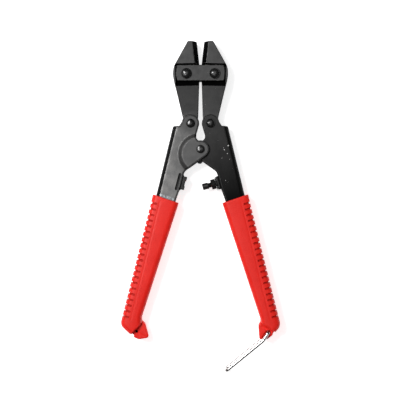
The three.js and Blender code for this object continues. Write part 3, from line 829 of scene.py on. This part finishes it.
def screw():
    """The adjusting screw: a rolled thread, and a slotted cylinder head at its tip."""
    radius, head, pitch = SCREW["radius"], SCREW["head"], SCREW["pitch"]
    neck = SCREW["tip"] - SCREW["head_length"]
    sides = THREAD["sides"]
    steps = round((neck + SCREW["inside"]) / pitch * THREAD["steps_per_pitch"])
    rings = []
    for step in range(steps + 1):
        x = -SCREW["inside"] + (neck + SCREW["inside"]) * step / steps
        ring = []
        for i in range(sides):
            turn = i / sides
            phase = (x / pitch - turn) % 1
            depth = THREAD["depth"] * (1 - min(1, THREAD["steepness"] * abs(phase - 0.5)))
            reach = radius - depth
            ring.append((x, reach * math.cos(math.tau * turn), reach * math.sin(math.tau * turn)))
        rings.append(ring)
    thread = skin(rings)
    tip = SCREW["tip"]
    profile = [(0, neck), (head - 0.15, neck), (head, neck + 0.15)]
    profile += [(head, tip - 0.45), (head - 0.15, tip - 0.15), (head - 0.5, tip), (0, tip)]
    cap = moved(lathe(profile, sides), math.pi / 2, axis="Y")
    cut(cap, prism([(tip - 0.9, -3), (tip + 1, -3), (tip + 1, 3), (tip - 0.9, 3)], -0.35, 0.35))
    return combine(thread, "UNION", cap)


def nut():
    start, end = NUT["start"], NUT["start"] + NUT["thickness"]
    corner = NUT["across"] / math.sqrt(3)
    body = prism(arc(CENTRE, corner, 0, 300, 60), start, end)
    blank = [(0, start), (corner - 0.7, start), (corner + 0.1, start + 0.45)]
    blank += [(corner + 0.1, end - 0.45), (corner - 0.7, end), (0, end)]
    combine(body, "INTERSECT", lathe(blank))
    cut(body, drill(CENTRE, SCREW["radius"] + HOLE_GAP))
    return moved(rounded(body, 0.12, 2), math.pi / 2, axis="Y")


def washer():
    start = WASHER["start"]
    body = prism(arc(CENTRE, WASHER["radius"], 0, 350, 10), start, start + WASHER["thickness"])
    cut(body, drill(CENTRE, SCREW["radius"] + BOLT_GAP))
    return moved(rounded(body, 0.15, 2), math.pi / 2, axis="Y")


def screw_bracket():
    body = bracket(BRACKET["sheet"], 0)
    return cut(body, moved(drill(CENTRE, SCREW["radius"] + BOLT_GAP), math.pi / 2, axis="Y"))


HARDWARE = ("black_hardware", [hardware_black, hardware_black])
show(at_stop(bracket(BRACKET["pad"], 0.5), "left"), "left_stop_bracket", "left_handle", *HARDWARE)
show(at_stop(screw_bracket(), "right"), "screw_bracket", "right_handle", *HARDWARE)
show(at_stop(washer(), "right"), "adjusting_washer", "stop_washer", *HARDWARE)
show(at_stop(nut(), "right"), "lock_nut", "stop_nut", *HARDWARE)
show(at_stop(screw(), "right"), "adjusting_screw", "stop_screw", *HARDWARE, smooth=40, weighted=False)


# ---- grips ----
LEFT_GRIP = {
    "heel": [(-41.0, -117.2), (-41.0, -126.4), (-46.0, -131.7), (-56.0, -122.4)],
    "step": [(-41.0, -121.3), (-48.9, -129.0)],
    "toe": [
        (-43.0, -116.0), (-41.1, -119.4), (-38.6, -121.6), (-36.1, -130.8), (-37.4, -131.7),
        (-43.0, -132.6), (-46.6, -131.0), (-48.5, -129.4), (-51.0, -124.0),
    ],
    "notch": (-47.6, -129.9),
    "hole": (-44.5, -127.0),
    "hole_radius": 0.95,
    "ridge": [(-44.5, -127.0), (-37.2, -131.4)],
}
RIGHT_GRIP = {
    "heel": [(-42.0, -118.6), (-42.0, -125.8), (-49.5, -130.8), (-56.0, -122.9)],
    "step": [(-42.0, -120.6), (-52.2, -127.4)],
    "toe": [
        (-44.0, -116.0), (-42.0, -120.4), (-40.5, -122.6), (-41.2, -132.6),
        (-44.0, -132.8), (-46.4, -132.6), (-50.7, -129.3), (-52.0, -124.0),
    ],
    "notch": (-51.6, -128.9),
    "hole": LATCH_ROUTE[0],
    "hole_radius": WIRE + 0.15,
    "ridge": [(-42.6, -123.0), (-50.6, -128.2)],
    "groove": [LATCH_ROUTE[0], (-42.6, -134.6)],
}


def tube(points, radius, segments):
    """A round bar along a line of points, with flat ends."""
    points = [Vector(point) for point in points]
    rings = []
    side = None
    for i, point in enumerate(points):
        along = (points[min(i + 1, len(points) - 1)] - points[max(i - 1, 0)]).normalized()
        if side is None:
            side = along.orthogonal()
        side = (side - along * side.dot(along)).normalized()
        other = along.cross(side)
        turns = [math.tau * k / segments for k in range(segments)]
        rings.append([point + radius * (side * math.cos(t) + other * math.sin(t)) for t in turns])
    return skin(rings)


def rib_pocket(at):
    """A pocket between two ribs, with steep walls; it wraps from the front face round to the back face."""
    inward = Vector((-GRIP_ALONG.y, GRIP_ALONG.x, 0))
    along = Vector((*GRIP_ALONG, 0))
    half, depth, reach = RIBS["half"], RIBS["depth"], RIBS["reach"]
    corner = arc((GRIP_ROUND, GRIP_HALF - GRIP_ROUND), GRIP_ROUND, 90, 180, 15)
    profile = [(reach + 0.6, GRIP_HALF, 0.35), (reach + 0.35, GRIP_HALF, 0.75), (reach - 0.15, GRIP_HALF, 1)]
    profile += [(x, z, 1) for x, z in corner]
    profile += [(x, -z, size) for x, z, size in reversed(profile)]
    centre = Vector((GRIP_ROUND, 0))
    rings = []
    for x, z, size in profile:
        out = Vector((0, math.copysign(1, z)))
        if x < GRIP_ROUND:
            level = out * (GRIP_HALF - GRIP_ROUND)
            out = (Vector((x, z)) - centre - level).normalized()
        middle = Vector((*at, 0)) + inward * x + Vector((0, 0, z))
        out = inward * out.x + Vector((0, 0, out.y))
        wide, floor_wide = half * size, half * size - POCKET_CORNER
        wall_end = POCKET_CORNER - depth
        section = [(-wide, POCKET_ABOVE), (-wide, wall_end), (-floor_wide, -depth), (floor_wide, -depth)]
        section += [(wide, wall_end), (wide, POCKET_ABOVE)]
        rings.append([middle + along * u + out * v for u, v in section])
    return skin(rings)


def rib_pockets():
    steps = [RIBS["first"] + i * RIBS["pitch"] for i in range(RIBS["count"])]
    # The pockets' faces take the grip's darker red slot: painted shade.
    return sunk(moulded(joined([rib_pocket(GRIP_OUTER_TOP + GRIP_ALONG * step) for step in steps])))


def joined(objects):
    """Several separate bodies as one object."""
    bm = bmesh.new()
    for obj in objects:
        bm.from_mesh(obj.data)
        bpy.data.objects.remove(obj)
    return draft(bm)


def sleeve_room():
    """The room inside the sleeve for the handle's channel."""
    mouth = -24
    end = CHANNEL_END - SLEEVE_GAP
    inner = [(x + SLEEVE_GAP, y) for x, y in CHANNEL_INNER[1:]]
    inner[0] = (inner[0][0] + 3.4, mouth)
    inner[-1] = (inner[-1][0], end)
    outer = [(channel_outer(y) - SLEEVE_GAP, y) for y in (end, mouth)]
    depth = WALL_OUTER + SLEEVE_GAP
    return prism(inner + outer, -depth, depth)


def beyond(start, end):
    """All that lies past a line, to the left of its run."""
    along = (Vector(end) - Vector(start)).normalized()
    away = Vector((-along.y, along.x))
    a, b = Vector(start) - along * THROUGH, Vector(end) + along * THROUGH
    return prism([a, b, b + away * THROUGH, a + away * THROUGH], -THROUGH, THROUGH)


def pin_hole(centre, radius):
    """A hole in the toe's front face, as deep as the latch's stub and a little more."""
    return moved(prism(arc((0, 0), radius, 0, 345, 15), TOE_HALF - LATCH_STUB - 0.5, THROUGH), at=centre)


def crease(start, end, half_width, depth):
    """A groove in the toe's front face along a line, with walls square to the face."""
    start, end = Vector(start), Vector(end)
    along = (end - start).normalized()
    out = Vector((-along.y, along.x)) * half_width
    return prism([start - out, end - out, end + out, start + out], TOE_HALF - depth, TOE_HALF + 3)


def moulded(obj):
    """Soft shapes of the moulding, on the fine mesh: crowned faces, and a faint line beside the ribs."""
    count = len(obj.data.vertices)
    co = np.empty(count * 3)
    obj.data.vertices.foreach_get("co", co)
    co = co.reshape(-1, 3)
    inward = np.array((-GRIP_ALONG.y, GRIP_ALONG.x))
    from_edge = (co[:, :2] - np.array(GRIP_OUTER_TOP)) @ inward
    down = (co[:, :2] - np.array(GRIP_OUTER_TOP)) @ np.array(GRIP_ALONG)
    width = np.interp(down, [-6, 0, 84], [19.5, 19.0, 13.5])
    across_it = np.clip(from_edge / width * 2 - 1, -1, 1)
    co[:, 2] *= 1 - CROWN * across_it**2
    line = np.exp(-(((from_edge - RIBS["reach"] - LINE["from_ribs"]) / LINE["half"]) ** 2))
    line = line * (down > LINE["start"]) * (down < LINE["end"])
    co[:, 2] -= np.sign(co[:, 2]) * LINE["depth"] * line * (np.abs(co[:, 2]) > LINE["on_face_above"])
    obj.data.vertices.foreach_set("co", co.ravel())
    obj.data.update()
    return obj


def grip(shape):
    """A sleeve with a heel and a thin toe, as a fine mesh, with the room for the channel cut last."""
    outer = MOUTH[0] + (MOUTH[0] - GRIP_OUTER_TOP).normalized() * OVERRUN
    inner = MOUTH[1] + (MOUTH[1] - Vector(shape["heel"][0])).normalized() * OVERRUN
    body = prism([outer, inner, *shape["heel"], GRIP_OUTER_TOP], -GRIP_HALF, GRIP_HALF)
    bevelled(body, GRIP_ROUND, 5)
    cut(body, beyond(*MOUTH), beyond(*shape["step"]))
    toe = rounded(prism(shape["toe"], -TOE_HALF, TOE_HALF), 0.6, 2)
    cut(toe, *both_faces(crease(*shape["ridge"], *RIDGE)))
    if "groove" in shape:
        cut(toe, *both_faces(crease(*shape["groove"], *GROOVE)))
    combine(body, "UNION", toe)
    cut(body, drill(shape["notch"], 1.3))
    modify(body, "REMESH", mode="VOXEL", voxel_size=VOXEL, adaptivity=0)
    modify(body, "SMOOTH", factor=0.5, iterations=5)
    moulded(body)
    # The pin holes take the grip's black slot: painted shade.
    pins = [sunk(pin, EDGE_FACES) for pin in both_faces(pin_hole(shape["hole"], shape["hole_radius"]))]
    combine(body, "DIFFERENCE", rib_pockets(), sleeve_room(), *pins, solver="MANIFOLD")
    return body


SLEEVE = ("red_grips", [grip_red, grip_hole_painted_shade, grip_pocket_painted_shade], 60, False)
show(grip(LEFT_GRIP), "left_grip", "left_handle", *SLEEVE)
right_grip = grip(RIGHT_GRIP)
show(reflected(right_grip, "X"), "right_grip", "right_handle", *SLEEVE)
bpy.data.objects.remove(right_grip)


# ---- latch ----
def latch():
    """A bail of round wire: a stub in the toe's hole on each side, two bent arms, and a cross bar."""
    width, bend = LATCH_HALF_WIDTH, 1.8
    corners = [(*LATCH_ROUTE[0], width - LATCH_STUB)] + [(x, y, width) for x, y in LATCH_ROUTE]
    corners += [(x, y, -z) for x, y, z in reversed(corners)]
    corners = [Vector(corner) for corner in corners]
    route = [corners[0]]
    for before, corner, after in zip(corners, corners[1:], corners[2:]):
        start = corner + (before - corner).normalized() * bend
        end = corner + (after - corner).normalized() * bend
        route += [start] + [Vector(point) for point in curve(start, corner, end, 6)]
    return tube(route + [corners[-1]], WIRE, 20)


wire = latch()
show(reflected(wire, "X"), "latch_wire", "latch", "latch_chrome", [wire_chrome], smooth=60, weighted=False)
bpy.data.objects.remove(wire)


# ---- floor, lights, camera ----
VIEW_CENTRE = TOOL + Vector((-0.35, -35.4, 0)) * MM
FIELD = 0.28
CAMERA_HEIGHT = 1.0
TENT_EDGE = (0.2, 0.4)  # heights between which the world's light fades in
HORIZON_LIGHT = 0.02


def floor():
    look = Look("floor_card")
    tone = look.mix(look.noise(60, 2), (0.93, 0.93, 0.93, 1), (0.96, 0.96, 0.96, 1))
    look.set(base_color=tone, roughness=0.9, emission_color=(1, 1, 1, 1), emission_strength=0.76)
    bpy.ops.mesh.primitive_plane_add(size=2.4, location=(0, 0, 0))
    plane = bpy.context.object
    plane.name = "floor"
    plane.data.materials.append(look.material)


def softbox(name, energy, size, off_vertical, bearing, distance):
    """An area light above the tool, aimed at it; its bearing is in degrees from +X."""
    tilt, turn = math.radians(off_vertical), math.radians(bearing)
    way = Vector((math.sin(tilt) * math.cos(turn), math.sin(tilt) * math.sin(turn), math.cos(tilt)))
    light = bpy.data.lights.new(name, "AREA")
    light.energy = energy
    light.shape = "RECTANGLE"
    light.size, light.size_y = size
    holder = bpy.data.objects.new(name, light)
    holder.location = way * distance
    holder.rotation_euler = (-way).to_track_quat("-Z", "Y").to_euler()
    bpy.context.scene.collection.objects.link(holder)


def dome(strength):
    """A white tent over the tool, open and dark near the horizon."""
    world = bpy.data.worlds.new("studio")
    world.use_nodes = True
    tree = world.node_tree
    way = tree.nodes.new("ShaderNodeTexCoord").outputs["Generated"]
    height = tree.nodes.new("ShaderNodeSeparateXYZ")
    tree.links.new(way, height.inputs[0])
    tent = tree.nodes.new("ShaderNodeMapRange")
    tree.links.new(height.outputs["Z"], tent.inputs[0])
    for socket, value in enumerate((*TENT_EDGE, HORIZON_LIGHT, strength), start=1):
        tent.inputs[socket].default_value = value
    background = tree.nodes["Background"]
    background.inputs[0].default_value = (0.96, 0.98, 1.0, 1)
    tree.links.new(tent.outputs[0], background.inputs[1])
    bpy.context.scene.world = world


def camera():
    view = bpy.data.cameras.new("camera")
    plane = middle_of("center_rivet").z
    view.sensor_width = 36
    view.lens = view.sensor_width * (CAMERA_HEIGHT - plane) / FIELD
    holder = bpy.data.objects.new("camera", view)
    holder.location = (VIEW_CENTRE.x, VIEW_CENTRE.y, CAMERA_HEIGHT)
    bpy.context.scene.collection.objects.link(holder)
    bpy.context.scene.camera = holder


floor()
softbox("key", 6.0, (0.26, 0.26), 28, 148, 0.9)
softbox("fill", 4.5, (1.2, 1.2), 12, 150, 1.5)
dome(0.06)
bpy.context.scene.view_settings.view_transform = "Standard"
camera()
